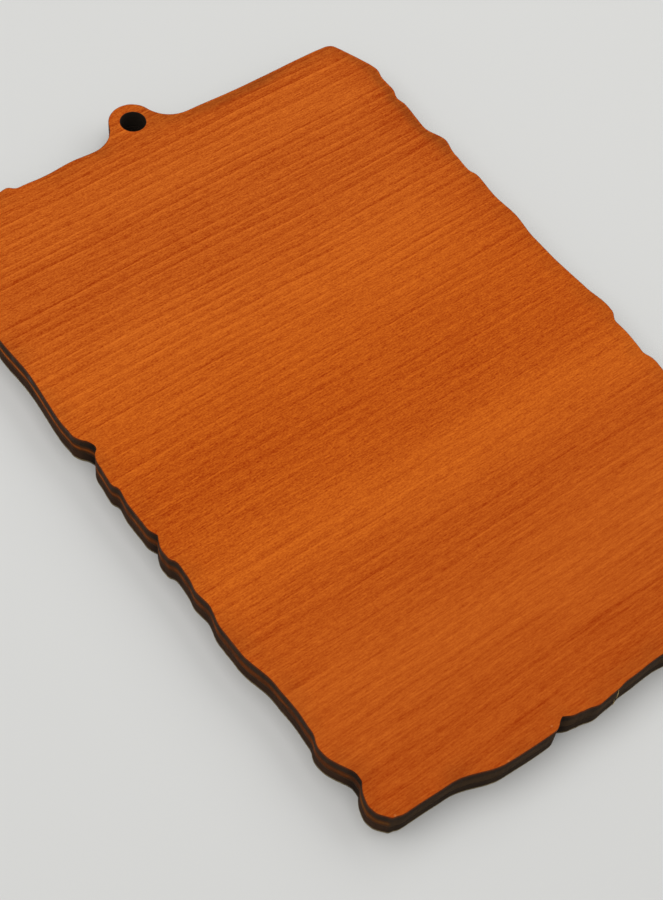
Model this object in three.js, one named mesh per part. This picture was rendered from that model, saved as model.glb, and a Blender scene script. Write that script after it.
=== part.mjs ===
// A small wooden icon plaque: three plies of wood with a picture sheet on the front, all cut together by laser
// into a ragged outline with an ear that hangs on a nail or a thread.
// The plaque lies on its picture. X runs across it, Y up it towards the ear, and Z from the picture to the
// plain back. Lengths are in millimetres, and the origin is on the picture face, in the middle of the outline.

import * as THREE from 'three';

// The body, measured between the outermost points of its ragged sides
const BODY_WIDTH = 58.6;
const BODY_HEIGHT = 85.6;

// The layers, from the back down to the picture
const BACK_VENEER = 1.125;
const CORE_PLY = 1.25;
const FRONT_VENEER = 1.25;
const GLUE_LINE = 0.0625;
const PICTURE_ADHESIVE = 0.0625;
const PICTURE_SHEET = 0.1875;

// The hanging ear: a round head on a neck that flares into the top side. The hole is a little off its middle.
const HOLE_DIAMETER = 3;
const EAR_WALL = 1.25;
const EAR_OFFSET = -1;
const HOLE_RISE = 1;
const HOLE_SHIFT = 0.1;
const NECK_RADIUS_LEFT = 3.7;
const NECK_RADIUS_RIGHT = 4;

// How finely curves are drawn
const EDGE_STEP = 0.8;
const STEPS_AT_LEAST = 3;
const ARC_STEPS = 9;
const IN_LINE = 0.003;

// The ragged sides. Each turn is a crest or a dip of the edge: how far along its side it lies, as a share of the
// side, how deep it lies behind the side's outermost line in mm, and whether the edge turns softly or breaks there.
const SOFT = 0;
const BREAK = 1;

// Left to right, from the corner to the ear's neck
const TOP_LEFT_TURNS = [
  [0.101, 1.1, SOFT], [0.192, 0.6, SOFT], [0.283, 1.15, BREAK], [0.334, 0.75, SOFT], [0.414, 0.3, SOFT],
  [0.499, 0, SOFT], [0.545, 0.6, SOFT], [0.697, 0.72, SOFT], [0.869, 0.45, SOFT], [1, 0.58, SOFT],
];

// Left to right, from the ear's neck to the corner
const TOP_RIGHT_TURNS = [
  [0, 0.78, SOFT], [0.292, 0.94, SOFT], [0.757, 0.75, SOFT], [0.818, 0.82, SOFT],
];

// From the ear's end down
const RIGHT_TURNS = [
  [0.019, 3.06, BREAK], [0.055, 1.72, BREAK], [0.084, 0.97, SOFT], [0.1, 1.26, SOFT], [0.124, 1.24, SOFT],
  [0.141, 1.66, SOFT], [0.156, 1.42, SOFT], [0.204, 1.68, SOFT], [0.238, 0.69, SOFT], [0.262, 1.1, SOFT],
  [0.297, 1.18, BREAK], [0.311, 0.81, SOFT], [0.35, 1, SOFT], [0.393, 0.7, SOFT], [0.432, 1, SOFT],
  [0.46, 0.95, SOFT], [0.539, 0.45, BREAK], [0.573, 0, SOFT], [0.583, 0.05, SOFT], [0.598, 0.65, SOFT],
  [0.62, 0.58, SOFT], [0.655, 0.81, BREAK], [0.673, 0.4, SOFT], [0.7, 0.55, SOFT], [0.728, 1.3, BREAK],
  [0.752, 0.7, SOFT], [0.8, 0.95, SOFT], [0.842, 0.45, SOFT], [0.872, 1.7, BREAK], [0.9, 1.05, SOFT],
  [0.935, 1.3, SOFT], [0.962, 1.1, SOFT],
];

// From the ear's end down
const LEFT_TURNS = [
  [0.03, 1.3, SOFT], [0.055, 0.6, SOFT], [0.078, 0.95, BREAK], [0.105, 0.35, SOFT], [0.14, 0.7, SOFT],
  [0.17, 0.2, SOFT], [0.205, 0, SOFT], [0.268, 0.33, SOFT], [0.35, 0, SOFT], [0.374, 0.15, SOFT],
  [0.4, 1.41, SOFT], [0.404, 1.4, SOFT], [0.411, 0.9, BREAK], [0.423, 0.58, SOFT], [0.457, 0.4, SOFT],
  [0.468, 0.77, SOFT], [0.49, 0.57, SOFT], [0.53, 0.66, SOFT], [0.545, 1.12, BREAK], [0.565, 0.54, SOFT],
  [0.577, 0.6, SOFT], [0.588, 1.07, SOFT], [0.613, 1.05, SOFT], [0.631, 0.82, SOFT], [0.655, 1.09, SOFT],
  [0.683, 0.67, SOFT], [0.721, 0.76, SOFT], [0.78, 1.7, SOFT], [0.818, 1.87, SOFT], [0.848, 1.77, SOFT],
  [0.865, 1.35, SOFT], [0.872, 1.36, SOFT], [0.912, 2.79, BREAK], [0.924, 2.81, BREAK], [0.934, 2.27, BREAK],
  [0.951, 1.87, SOFT], [0.963, 2.1, BREAK], [0.974, 2.83, BREAK],
];

// Left to right
const BOTTOM_TURNS = [
  [0.055, 1.95, SOFT], [0.072, 1.7, SOFT], [0.166, 1.65, SOFT], [0.266, 0.28, SOFT], [0.366, 0.26, SOFT],
  [0.383, 0.87, BREAK], [0.389, 1.06, BREAK], [0.413, 0.5, SOFT], [0.43, 0.34, SOFT], [0.457, 0, SOFT],
  [0.494, 0.2, SOFT], [0.525, 0.48, SOFT], [0.6, 0.7, SOFT], [0.655, 0.35, SOFT], [0.69, 1.2, BREAK],
  [0.715, 0.6, SOFT],
  [0.77, 0.4, SOFT], [0.83, 0.95, SOFT], [0.885, 0.35, SOFT], [0.93, 0.55, SOFT],
];

// Where the sides' outermost lines and the ear lie
const LEFT = -BODY_WIDTH / 2;
const RIGHT = BODY_WIDTH / 2;
const HOLE_RADIUS = HOLE_DIAMETER / 2;
const HEAD_RADIUS = HOLE_RADIUS + EAR_WALL;
const HEAD_CENTRE = new THREE.Vector2(EAR_OFFSET, BODY_HEIGHT + HOLE_RISE);
const HOLE_CENTRE = new THREE.Vector2(EAR_OFFSET + HOLE_SHIFT, BODY_HEIGHT + HOLE_RISE);

// The depth of the edge between two turns, as a cubic that is level at a soft turn and straight at a break.
// Between two breaks it is a straight line.
function depthBetween([, depth, bend], [, nextDepth, nextBend], t) {
  const fall = nextDepth - depth;
  const start = fall * bend;
  const end = fall * nextBend;
  const cubic = start + end - 2 * fall;
  const square = 3 * fall - 2 * start - end;
  return depth + t * (start + t * (square + t * cubic));
}

// One ragged stretch. from and to are the ends of its outermost line, and inward points into the wood.
function raggedStretch(turns, from, to, inward) {
  const length = from.distanceTo(to);
  const place = (share, depth) => from.clone().lerp(to, share).addScaledVector(inward, depth);
  const points = [place(turns[0][0], turns[0][1])];
  for (let i = 1; i < turns.length; i++) {
    const [share] = turns[i - 1];
    const [nextShare] = turns[i];
    const steps = Math.max(STEPS_AT_LEAST, Math.round((nextShare - share) * length / EDGE_STEP));
    for (let step = 1; step <= steps; step++) {
      const t = step / steps;
      points.push(place(THREE.MathUtils.lerp(share, nextShare, t), depthBetween(turns[i - 1], turns[i], t)));
    }
  }
  return withoutPointsInLine(points);
}

// A point in line with its neighbours shapes nothing, and a face drawn through the three would have no area
function withoutPointsInLine(points) {
  const kept = [points[0]];
  for (let i = 1; i < points.length - 1; i++) {
    const before = kept.at(-1);
    const line = points[i + 1].clone().sub(before);
    const offLine = Math.abs(line.cross(points[i].clone().sub(before))) / line.length();
    if (offLine > IN_LINE) kept.push(points[i]);
  }
  kept.push(points.at(-1));
  return kept;
}

// The arc on one side of the neck touches the round head and the top side's edge. side is -1 on the left and 1
// on the right, and edgeY is the height of the edge that it runs into.
function neckArc(side, radius, edgeY) {
  const centreY = edgeY + radius;
  const reach = HEAD_RADIUS + radius;
  const across = Math.sqrt(reach ** 2 - (HEAD_CENTRE.y - centreY) ** 2);
  const centre = new THREE.Vector2(HEAD_CENTRE.x + side * across, centreY);
  const touch = HEAD_CENTRE.clone().lerp(centre, HEAD_RADIUS / reach);
  return { centre, radius, touch, footX: centre.x };
}

// The whole outline, counter-clockwise from the bottom side's left end
function plaqueOutline() {
  const down = new THREE.Vector2(0, -1);
  const up = new THREE.Vector2(0, 1);
  const toRight = new THREE.Vector2(1, 0);
  const toLeft = new THREE.Vector2(-1, 0);
  const leftTop = new THREE.Vector2(LEFT, BODY_HEIGHT);
  const leftBottom = new THREE.Vector2(LEFT, 0);
  const rightTop = new THREE.Vector2(RIGHT, BODY_HEIGHT);
  const rightBottom = new THREE.Vector2(RIGHT, 0);

  const leftNeck = neckArc(-1, NECK_RADIUS_LEFT, BODY_HEIGHT - TOP_LEFT_TURNS.at(-1)[1]);
  const rightNeck = neckArc(1, NECK_RADIUS_RIGHT, BODY_HEIGHT - TOP_RIGHT_TURNS[0][1]);
  const leftFoot = new THREE.Vector2(leftNeck.footX, BODY_HEIGHT);
  const rightFoot = new THREE.Vector2(rightNeck.footX, BODY_HEIGHT);

  const bottom = raggedStretch(BOTTOM_TURNS, leftBottom, rightBottom, up);
  const right = raggedStretch(RIGHT_TURNS, rightTop, rightBottom, toLeft).reverse();
  const topRight = raggedStretch(TOP_RIGHT_TURNS, rightFoot, rightTop, down).reverse();
  const topLeft = raggedStretch(TOP_LEFT_TURNS, leftTop, leftFoot, down).reverse();
  const left = raggedStretch(LEFT_TURNS, leftTop, leftBottom, toRight);

  const outline = new THREE.Shape();
  outline.moveTo(bottom[0].x, bottom[0].y);
  follow(outline, bottom);
  turnCorner(outline, bottom, right);
  follow(outline, right);
  turnCorner(outline, right, topRight);
  follow(outline, topRight);
  earArcs(outline, rightNeck, leftNeck);
  follow(outline, topLeft);
  turnCorner(outline, topLeft, left);
  follow(outline, left);
  turnCorner(outline, left, bottom);
  return outline;
}

function follow(outline, points) {
  for (const point of points.slice(1)) outline.lineTo(point.x, point.y);
}

// Two sides meet in a curve that leaves the first side's end along its line and comes in along the second's
function turnCorner(outline, firstSide, secondSide) {
  const from = firstSide.at(-1);
  const to = secondSide[0];
  const leaving = from.clone().sub(firstSide.at(-2));
  const arriving = to.clone().sub(secondSide[1]);
  const ahead = to.clone().sub(from).cross(arriving) / leaving.cross(arriving);
  const control = from.clone().addScaledVector(leaving, ahead);
  outline.quadraticCurveTo(control.x, control.y, to.x, to.y);
}

// From the top side up the right of the neck, over the head and down the left of the neck
function earArcs(outline, rightNeck, leftNeck) {
  const angle = (centre, point) => Math.atan2(point.y - centre.y, point.x - centre.x);
  const straightDown = -Math.PI / 2;
  const rightTouch = angle(rightNeck.centre, rightNeck.touch);
  const leftTouch = angle(leftNeck.centre, leftNeck.touch);
  const headStart = angle(HEAD_CENTRE, rightNeck.touch);
  const headEnd = angle(HEAD_CENTRE, leftNeck.touch);
  outline.absarc(rightNeck.centre.x, rightNeck.centre.y, rightNeck.radius, straightDown, rightTouch, true);
  outline.absarc(HEAD_CENTRE.x, HEAD_CENTRE.y, HEAD_RADIUS, headStart, headEnd, false);
  outline.absarc(leftNeck.centre.x, leftNeck.centre.y, leftNeck.radius, leftTouch, straightDown, true);
}

// The hole that the laser cuts through every layer
function hangingHole() {
  return new THREE.Path().absarc(HOLE_CENTRE.x, HOLE_CENTRE.y, HOLE_RADIUS, 0, 2 * Math.PI, true);
}

const outline = plaqueOutline();
outline.holes.push(hangingHole());

// The layers all have the cut outline, and lie face to face from the picture up
const LAYERS = [
  { name: 'picture_sheet', thickness: PICTURE_SHEET, color: 0xb98a3c, roughness: 0.35 },
  { name: 'picture_adhesive', thickness: PICTURE_ADHESIVE, color: 0xd9d2b0, roughness: 0.6 },
  { name: 'front_veneer', thickness: FRONT_VENEER, color: 0x6b3c1c, roughness: 0.55 },
  { name: 'front_glue_line', thickness: GLUE_LINE, color: 0x2a1a10, roughness: 0.7 },
  { name: 'core_ply', thickness: CORE_PLY, color: 0x8a5426, roughness: 0.65 },
  { name: 'back_glue_line', thickness: GLUE_LINE, color: 0x2a1a10, roughness: 0.7 },
  { name: 'back_veneer', thickness: BACK_VENEER, color: 0xb95516, roughness: 0.45 },
];

function layerMesh({ name, thickness, color, roughness }, bottomZ) {
  const geometry = new THREE.ExtrudeGeometry(outline, {
    depth: thickness,
    bevelEnabled: false,
    curveSegments: ARC_STEPS,
  });
  const mesh = new THREE.Mesh(geometry, new THREE.MeshStandardMaterial({ color, roughness, metalness: 0 }));
  mesh.name = name;
  mesh.position.z = bottomZ;
  return mesh;
}

function stackedLayers() {
  const stack = new THREE.Group();
  let bottomZ = 0;
  for (const layer of LAYERS) {
    stack.add(layerMesh(layer, bottomZ));
    bottomZ += layer.thickness;
  }
  return stack;
}

// The origin comes to the middle of the outline's box
const plaque = stackedLayers();
const middle = new THREE.Box2().setFromPoints(outline.getPoints(ARC_STEPS)).getCenter(new THREE.Vector2());
plaque.position.set(-middle.x, -middle.y, 0);

export default plaque;
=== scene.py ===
# %% [markdown]
# # A small wooden icon plaque
#
# The object is a piece of three-ply board, about as large as a playing card, with a picture bonded to its
# front. A laser cuts it out with a ragged outline, like an old torn page, and with a small ear to hang it
# by. It lies on its picture, so the camera sees the plain back, which is stained orange-brown.
#
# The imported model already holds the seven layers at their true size. This script keeps every layer where it
# is, and gives each one a finely cut edge and a finish. Lengths are written in millimetres and turned into
# metres.

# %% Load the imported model
from math import cos, pi, radians, sin

import bmesh
import bpy
import numpy as np
from mathutils import Matrix, Vector
from mathutils.geometry import delaunay_2d_cdt
from mathutils.kdtree import KDTree


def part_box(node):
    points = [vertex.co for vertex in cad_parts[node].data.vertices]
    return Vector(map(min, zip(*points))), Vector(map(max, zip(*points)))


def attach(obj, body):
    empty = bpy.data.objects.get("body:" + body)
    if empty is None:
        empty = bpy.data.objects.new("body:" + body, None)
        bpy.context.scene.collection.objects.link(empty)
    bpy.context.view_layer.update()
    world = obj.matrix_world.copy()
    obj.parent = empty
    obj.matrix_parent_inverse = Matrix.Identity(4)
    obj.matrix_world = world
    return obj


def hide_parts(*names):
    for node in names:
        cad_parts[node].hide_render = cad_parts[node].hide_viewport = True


MM = 0.001

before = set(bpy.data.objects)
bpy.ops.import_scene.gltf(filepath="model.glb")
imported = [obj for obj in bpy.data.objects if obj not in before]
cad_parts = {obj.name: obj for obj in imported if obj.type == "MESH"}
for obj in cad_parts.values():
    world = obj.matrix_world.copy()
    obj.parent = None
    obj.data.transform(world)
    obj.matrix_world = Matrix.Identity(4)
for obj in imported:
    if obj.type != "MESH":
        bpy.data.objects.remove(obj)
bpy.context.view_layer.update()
print("nodes:", ", ".join(sorted(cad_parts)))

# %% [markdown]
# ## The camera
#
# The camera looks down steeply over one corner of the plaque. Its place was worked out from the photograph:
# the hanging hole shows as an ellipse, the sides run towards two vanishing points, and the cut edge shows
# how thick the board looks. Such sums give the focal length in pixels, so one line turns it into
# millimetres.
#
# The camera could be aimed with a constraint, but a matrix says exactly where it is: it stands off from a
# point on the board's back, at an azimuth and an elevation, and is then rolled about its own line of sight.

# %% Camera
IMAGE_LONG_SIDE = 900
FOCAL_PIXELS = 1834.7
SENSOR = 36.0
CAMERA_AZIMUTH = radians(-42.92)
CAMERA_ELEVATION = radians(57.43)
CAMERA_ROLL = radians(8.66)
CAMERA_DISTANCE = 190.13 * MM
CAMERA_AIM = Vector((-7.63, -6.97, 4.0)) * MM


def camera_place():
    """The camera's X axis points to the picture's right, Y up the picture and Z back towards the eye."""
    level = cos(CAMERA_ELEVATION)
    back = Vector((sin(CAMERA_AZIMUTH) * level, -cos(CAMERA_AZIMUTH) * level, sin(CAMERA_ELEVATION)))
    right = Vector((0, 0, 1)).cross(back).normalized()
    facing = Matrix((right, back.cross(right), back)).transposed().to_4x4()
    roll = Matrix.Rotation(CAMERA_ROLL, 4, "Z")
    return Matrix.Translation(CAMERA_AIM + back * CAMERA_DISTANCE) @ facing @ roll


eye = bpy.data.cameras.new("eye")
eye.sensor_width = SENSOR
eye.lens = FOCAL_PIXELS * SENSOR / IMAGE_LONG_SIDE
eye.clip_start = 1 * MM
camera = bpy.data.objects.new("camera", eye)
camera.matrix_world = camera_place()
bpy.context.scene.collection.objects.link(camera)
bpy.context.scene.camera = camera
print("lens:", round(eye.lens, 1), "mm, camera at", [round(c / MM, 1) for c in camera.location], "mm")

# %% [markdown]
# ## Writing node trees as sums
#
# A material or a Geometry Nodes tree is a chain of small boxes. Adding two values by hand takes one box and
# two wires, so a long formula is hard to read. `Value` wraps one output of a node and teaches it Python's
# operators, and `1 - mask * 0.5` then adds its Math nodes by itself. `Graph` adds every other node through
# one method, which takes the node's type, its settings, and what goes into its sockets.


# %% One output of a node
class Value:
    """One output of a node, which Python's operators join to others."""

    def __init__(self, graph, socket):
        self.graph = graph
        self.socket = socket

    def maths(self, operation, *values):
        return self.graph.node("ShaderNodeMath", {"operation": operation}, dict(enumerate(values)))

    def __add__(self, other):
        return self.maths("ADD", self, other)

    def __sub__(self, other):
        return self.maths("SUBTRACT", self, other)

    def __rsub__(self, other):
        return self.maths("SUBTRACT", other, self)

    def __mul__(self, other):
        return self.maths("MULTIPLY", self, other)

    def __truediv__(self, other):
        return self.maths("DIVIDE", self, other)

    def __pow__(self, other):
        return self.maths("POWER", self, other)

    def __lt__(self, other):
        return self.maths("LESS_THAN", self, other)

    def __gt__(self, other):
        return self.maths("GREATER_THAN", self, other)

    def __abs__(self):
        return self.maths("ABSOLUTE", self)

    __radd__ = __add__
    __rmul__ = __mul__

    def at_most(self, other):
        return self.maths("MINIMUM", self, other)

    def at_least(self, other):
        return self.maths("MAXIMUM", self, other)

    def as_share(self):
        """Kept from 0 to 1."""
        return self.at_least(0).at_most(1)

    def cosine(self):
        return self.maths("COSINE", self)

    def sine(self):
        return self.maths("SINE", self)

    def fraction(self):
        return self.maths("FRACT", self)


# %% A whole tree
NOISE_SHIFT = (1.0, 0.37, 0.61)


class Graph:
    """A node tree that is being built."""

    def __init__(self, tree):
        self.tree = tree

    def node(self, kind, settings=None, inputs=None, output=0):
        made = self.tree.nodes.new(kind)
        for name, value in (settings or {}).items():
            setattr(made, name, value)
        for key, value in (inputs or {}).items():
            self.plug(self.find(made.inputs, key), value)
        return Value(self, self.find(made.outputs, output)) if made.outputs else made

    @staticmethod
    def find(sockets, key):
        """A socket by its number, its identifier or its name."""
        if isinstance(key, int):
            return sockets[key]
        return next((s for s in sockets if s.identifier == key), None) or sockets[key]

    def plug(self, socket, value):
        if isinstance(value, Value):
            self.tree.links.new(value.socket, socket)
        else:
            socket.default_value = value

    def fade(self, value, start, end):
        """0 before start and 1 past end, with a smooth rise between them."""
        limits = {"Value": value, "From Min": start, "From Max": end}
        return self.node("ShaderNodeMapRange", {"interpolation_type": "SMOOTHSTEP"}, limits)

    def near(self, value, middle, reach):
        """1 where the value is at the middle and 0 past its reach on either side."""
        return 1 - self.fade(abs(value - middle), 0, reach)

    def vector(self, x, y, z):
        return self.node("ShaderNodeCombineXYZ", None, {0: x, 1: y, 2: z})

    def parts(self, vector):
        split = self.node("ShaderNodeSeparateXYZ", None, {0: vector}).socket.node
        return [Value(self, out) for out in split.outputs]

    def scaled(self, vector, amount):
        return self.node("ShaderNodeVectorMath", {"operation": "SCALE"}, {0: vector, "Scale": amount})

    def dot(self, first, second):
        return self.node("ShaderNodeVectorMath", {"operation": "DOT_PRODUCT"}, {0: first, 1: second}, "Value")

    def noise(self, place, per_mm, detail=2.0, roughness=0.5, shift=0.0):
        """Cloudy values about 0, from -1 to 1. per_mm says how many clouds fit in a millimetre, each way."""
        shifted = tuple(shift * way for way in NOISE_SHIFT)
        multiply_add = {"operation": "MULTIPLY_ADD"}
        where = self.node("ShaderNodeVectorMath", multiply_add, {0: place, 1: per_mm, 2: shifted})
        cloud = {"Vector": where, "Scale": 1.0, "Detail": detail, "Roughness": roughness}
        return (self.node("ShaderNodeTexNoise", None, cloud) - 0.5) * 2

    def mix(self, share, first, second):
        """Colours mixed by share: the first at 0, the second at 1."""
        colours = {"Factor_Float": share, "A_Color": first, "B_Color": second}
        return self.node("ShaderNodeMix", {"data_type": "RGBA"}, colours, "Result_Color")


# %% A colour as the screen shows it
def srgb(red, green, blue):
    """A colour as a screen shows it, from 0 to 255, as the linear light that a shader takes."""
    shares = [c / 255 for c in (red, green, blue)]
    linear = [s / 12.92 if s <= 0.04045 else ((s + 0.055) / 1.055) ** 2.4 for s in shares]
    return (*linear, 1)


# %% [markdown]
# ## Light and floor
#
# The board's shadow is soft and unequal: wide and faint on its left, narrow below it, and almost nothing on
# the other two sides. One lamp can't throw both. So two softboxes hang over the table, as a photographer
# might set them: one above the board, a little to its left, and one further out on its right. The room's
# own light comes from everywhere, and is the world here. The three together give the floor about as much
# light as a white surface needs to render as white. Their places were found by comparing the shadow's
# brightness, millimetre by millimetre, with the photograph's.
#
# The floor is a sheet of pale card. Far from the board the softboxes no longer reach it, and a low view
# would show it going dark. So it fades there into the same pale grey that the world shows to the camera,
# and no horizon stands out. That grey is only what the camera sees, and lights nothing.

# %% Light
PALE_GREY = srgb(218, 218, 215.5)
SKY_SHARE = 0.314
SOFTBOXES = {
    "softbox_above": {"place": (-0.145, 0.058, 0.36), "side": 0.516, "watts": 1.226},
    "softbox_right": {"place": (0.508, 0.03, 0.29), "side": 0.677, "watts": 1.727},
}


def seen_directly(graph):
    """1 for what the camera sees, straight or in a gloss, and 0 for light that falls on things."""
    rays = graph.node("ShaderNodeLightPath").socket.node.outputs
    seen = Value(graph, rays["Is Camera Ray"])
    for name in ("Is Glossy Ray", "Is Transmission Ray"):
        seen = seen.at_least(Value(graph, rays[name]))
    return seen


def light_the_world():
    world = bpy.data.worlds.new("studio")
    world.use_nodes = True
    world.node_tree.nodes.clear()
    sky = Graph(world.node_tree)
    colour = sky.mix(seen_directly(sky), (SKY_SHARE, SKY_SHARE, SKY_SHARE, 1), PALE_GREY)
    background = sky.node("ShaderNodeBackground", None, {"Color": colour})
    sky.node("ShaderNodeOutputWorld", None, {"Surface": background})
    bpy.context.scene.world = world


def hang_softbox(name, place, side, watts):
    lamp = bpy.data.lights.new(name, "AREA")
    lamp.size = side
    lamp.energy = watts
    softbox = bpy.data.objects.new(name, lamp)
    softbox.location = place
    softbox.visible_camera = False
    bpy.context.scene.collection.objects.link(softbox)


bpy.context.scene.view_settings.view_transform = "Standard"
light_the_world()
for name, softbox in SOFTBOXES.items():
    hang_softbox(name, **softbox)
    print(name, softbox["side"], "m wide,", softbox["place"][2], "m up")

# %% Floor
CARD_GREY = srgb(216, 216, 213.7)
CARD_ENDS = (0.13, 0.34)
FLOOR_SIDE = 5.0
FLOOR_DROP = 0.02 * MM


def pale_card():
    """Plain card near the board, and far away the pale grey of the background."""
    card = bpy.data.materials.new("pale_card")
    card.use_nodes = True
    card.node_tree.nodes.clear()
    graph = Graph(card.node_tree)
    sockets = {"Base Color": CARD_GREY, "Roughness": 0.9, "Specular IOR Level": 0.1}
    shader = graph.node("ShaderNodeBsdfPrincipled", None, sockets)
    grey = graph.node("ShaderNodeEmission", None, {"Color": PALE_GREY})
    place = graph.node("ShaderNodeTexCoord", None, None, "Object")
    far = graph.fade(graph.dot(place, place) ** 0.5, *CARD_ENDS) * seen_directly(graph)
    both = graph.node("ShaderNodeMixShader", None, {0: far, 1: shader, 2: grey})
    graph.node("ShaderNodeOutputMaterial", None, {"Surface": both})
    return card


def lay_floor():
    half = FLOOR_SIDE / 2
    corners = [(x * half, y * half, -FLOOR_DROP) for x, y in ((-1, -1), (1, -1), (1, 1), (-1, 1))]
    mesh = bpy.data.meshes.new("floor")
    mesh.from_pydata(corners, [], [(0, 1, 2, 3)])
    mesh.materials.append(pale_card())
    floor = bpy.data.objects.new("floor", mesh)
    bpy.context.scene.collection.objects.link(floor)


lay_floor()
print("floor:", FLOOR_SIDE, "m wide, fading from", CARD_ENDS[0], "to", CARD_ENDS[1], "m")

# %% [markdown]
# ## Reading the outline
#
# All seven layers are cut by one laser path, so one outline serves them all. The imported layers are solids
# with straight facets up to a millimetre long, which would show as corners. Their vertices lie on the true
# path, though, so a curve through them gives the path back. A Catmull-Rom curve passes through every point,
# and its centripetal form stays tight where the points turn sharply.
#
# A torn edge also has real corners, and a smooth curve would swing round them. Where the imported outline
# turns by more than its curves ever do between two points, the path is cut there: each side ends along its
# own line.


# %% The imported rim
WELD = 0.5e-6


def rim_loops(node):
    """The loops round the upper face of a packed layer, as arrays of x and y, the longest first."""
    shape = bmesh.new()
    shape.from_mesh(node.data)
    bmesh.ops.remove_doubles(shape, verts=shape.verts, dist=WELD)
    top = max(v.co.z for v in shape.verts)
    upper = {f for f in shape.faces if all(top - v.co.z < WELD for v in f.verts)}
    rim = {e for e in shape.edges if sum(f in upper for f in e.link_faces) == 1}
    loops = []
    while rim:
        first, last = rim.pop().verts
        loop = [first]
        while last is not first:
            loop.append(last)
            onward = next(e for e in last.link_edges if e in rim)
            rim.remove(onward)
            last = onward.other_vert(last)
        loops.append(np.array([v.co.xy for v in loop], dtype=float))
    shape.free()
    return sorted(loops, key=len, reverse=True)


def with_wood_on_left(loop, wood_inside):
    """The loop run round with the wood on its left, from the point that has the least x."""
    x, y = loop.T
    runs_left = np.sum(x * np.roll(y, -1) - np.roll(x, -1) * y) > 0
    loop = loop if runs_left == wood_inside else loop[::-1]
    start = min(range(len(loop)), key=lambda number: tuple(loop[number]))
    return np.roll(loop, -start, axis=0)


side_loop, hole_loop = rim_loops(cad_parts["back_veneer"])[:2]
print("packed points:", len(side_loop), "round the sides,", len(hole_loop), "round the hole")

# %% A curve through its points
CURVE_PIECES = 24
SHARP_TURN = radians(28)


def heading(steps):
    return np.arctan2(steps[:, 1], steps[:, 0])


def least_turn(angle):
    """The same angle between half a turn to the right and half a turn to the left."""
    return (angle + pi) % (2 * pi) - pi


def curve_through(loop):
    """A centripetal Catmull-Rom curve through a closed loop, as many short steps. It keeps sharp corners."""
    before, start, end, after = (np.roll(loop, shift, axis=0) for shift in (1, 0, -1, -2))
    sharp = abs(least_turn(heading(end - start) - heading(start - before))) > SHARP_TURN
    before = np.where(sharp[:, None], 2 * start - end, before)
    after = np.where(np.roll(sharp, -1)[:, None], 2 * end - start, after)
    pairs = ((before, start), (start, end), (end, after))
    spans = [np.sqrt(np.linalg.norm(b - a, axis=1))[:, None] for a, b in pairs]
    t1 = spans[0]
    t2 = t1 + spans[1]
    t3 = t2 + spans[2]
    steps = []
    for share in np.arange(CURVE_PIECES) / CURVE_PIECES:
        t = t1 + spans[1] * share
        a1 = ((t1 - t) * before + t * start) / t1
        a2 = ((t2 - t) * start + (t - t1) * end) / spans[1]
        a3 = ((t3 - t) * end + (t - t2) * after) / spans[2]
        b1 = ((t2 - t) * a1 + t * a2) / t2
        b2 = ((t3 - t) * a2 + (t - t1) * a3) / (t3 - t1)
        steps.append(((t2 - t) * b1 + (t - t1) * b2) / spans[1])
    return np.stack(steps, axis=1).reshape(-1, 2)


# %% The laser's path
POINT_STEP = 0.1 * MM


def even_steps(loop, step):
    closed = np.vstack([loop, loop[:1]])
    travelled = np.r_[0, np.cumsum(np.linalg.norm(np.diff(closed, axis=0), axis=1))]
    stops = np.linspace(0, travelled[-1], round(travelled[-1] / step), endpoint=False)
    return np.stack([np.interp(stops, travelled, axis) for axis in closed.T], axis=1)


def outward_of(path):
    """The direction that leaves the wood at each point of a path that has the wood on its left."""
    along = np.roll(path, -1, axis=0) - np.roll(path, 1, axis=0)
    along /= np.linalg.norm(along, axis=1)[:, None]
    return np.stack([along[:, 1], -along[:, 0]], axis=1)


side_path = even_steps(curve_through(with_wood_on_left(side_loop, True)), POINT_STEP)
hole_path = even_steps(curve_through(with_wood_on_left(hole_loop, False)), POINT_STEP)
print("fine points:", len(side_path), "round the sides,", len(hole_path), "round the hole")

# %% [markdown]
# ## A flat blank
#
# The laser starts from a flat sheet, and the blank is that sheet, already cut to the outline. One large
# polygon would fill it too, but Blender would cut that into long slivers, and a value kept on its corners
# would smear across them. A constrained Delaunay triangulation takes extra points inside: rows that follow
# the edge closely, where the burn fades within a fraction of a millimetre, and a coarse grid in the middle.
#
# Each point remembers three things for later. `outward` is the way out of the wood, and is zero away from
# the edge. `edge_distance` is how far the edge is, in millimetres. `notch` is 1 where the path turns into
# the wood and 0 where it runs straight or bulges. The beam's heat is trapped in a notch, so the wall is
# charred blackest there, and the notch's shade is painted into that black too. The hanging hole is a notch
# all round.
#
# The path starts at the same point each time the script runs, so the blank comes out the same too.


# %% Points inside
ROWS_INSIDE = {0.12: 2, 0.3: 3, 0.6: 6, 1.1: 10}
ROW_KEEPS_OFF = 0.85
GRID_STEP = 1.7 * MM
GRID_KEEPS_OFF = 1.5 * MM
TOGETHER = 0.05 * MM


def nearest_edge():
    tree = KDTree(len(side_path) + len(hole_path))
    for number, (x, y) in enumerate(np.vstack([side_path, hole_path])):
        tree.insert((x, y, 0), number)
    tree.balance()
    return tree


edge = nearest_edge()


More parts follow.
